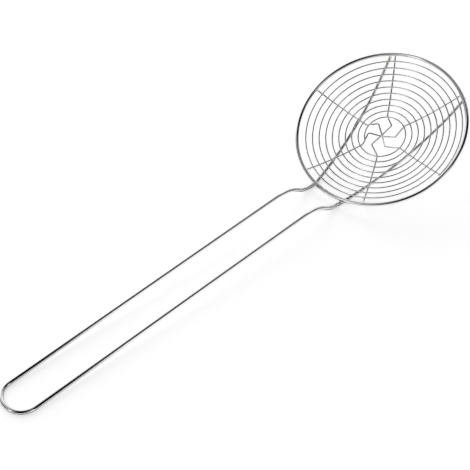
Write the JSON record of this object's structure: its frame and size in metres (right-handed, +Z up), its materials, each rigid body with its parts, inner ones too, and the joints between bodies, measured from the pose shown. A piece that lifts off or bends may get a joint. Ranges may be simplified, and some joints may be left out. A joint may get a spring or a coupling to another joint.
{
  "type": "wire strainer spoon",
  "caption": "Wire strainer spoon with a shallow spiral bowl in a round rim and a long looped wire handle, for lifting food out of hot oil or water.",
  "frame": {"origin": "on the table, under the middle of the box of the lying spoon", "axes": "+X along the spoon from the loop of the handle to the bowl, +Y to the left of the bowl seen from the handle, +Z up from the table"},
  "size_m": [0.4982, 0.16, 0.082],
  "materials": {
    "heavy_wire": "bright polished stainless steel wire",
    "thin_wire": "bright drawn stainless steel wire"
  },
  "bodies": {
    "root": {"rim_ring": "heavy_wire", "handle_wire": "heavy_wire", "spoke_wire_a": "thin_wire", "spoke_wire_b": "thin_wire", "spoke_wire_c": "thin_wire", "spiral_wire": "thin_wire"}
  },
  "joints": []
}
